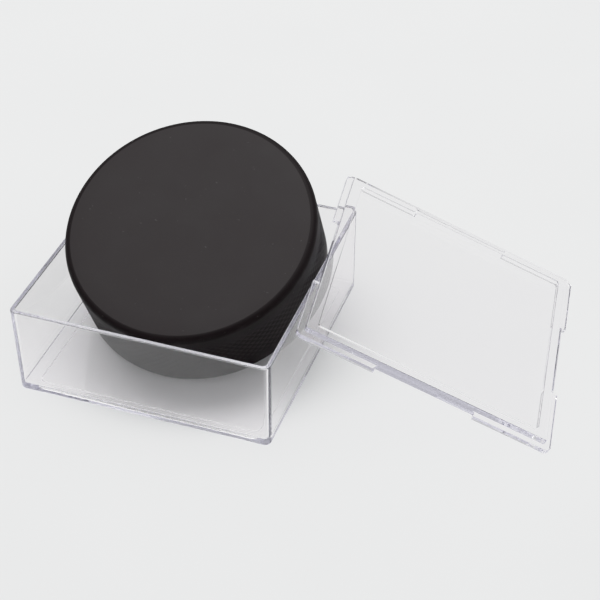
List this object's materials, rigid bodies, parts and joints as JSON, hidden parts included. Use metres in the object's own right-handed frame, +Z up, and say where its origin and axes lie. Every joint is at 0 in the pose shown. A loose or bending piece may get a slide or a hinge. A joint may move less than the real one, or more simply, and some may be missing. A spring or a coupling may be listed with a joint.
{
  "type": "ice hockey puck in display case",
  "caption": "Ice hockey puck tipped inside a clear square display tray, with the case's clear lid leaning against the tray.",
  "frame": {"origin": "centre of the tray's underside, on the table", "axes": "+X towards the side where the lid leans, +Y towards the tray's back wall that the puck leans on, +Z up"},
  "size_m": [0.1554, 0.1017, 0.056],
  "materials": {
    "clear_plastic": "clear polished polystyrene with a faint violet tint in its thick edges",
    "black_rubber": "satin vulcanised rubber, smooth faces and a knurled band around the side"
  },
  "bodies": {
    "case": {"case_base": "clear_plastic"},
    "puck": {"puck": "black_rubber"},
    "lid": {"case_lid": "clear_plastic"}
  },
  "joints": [
    {"name": "puck_lift", "type": "slide", "parent": "case", "child": "puck", "axis": [0, -0.4195, 0.9078], "range_m": [0, 0.06]},
    {"name": "lid_lift", "type": "slide", "parent": "case", "child": "lid", "axis": [0, 0, 1], "range_m": [0, 0.06]}
  ]
}
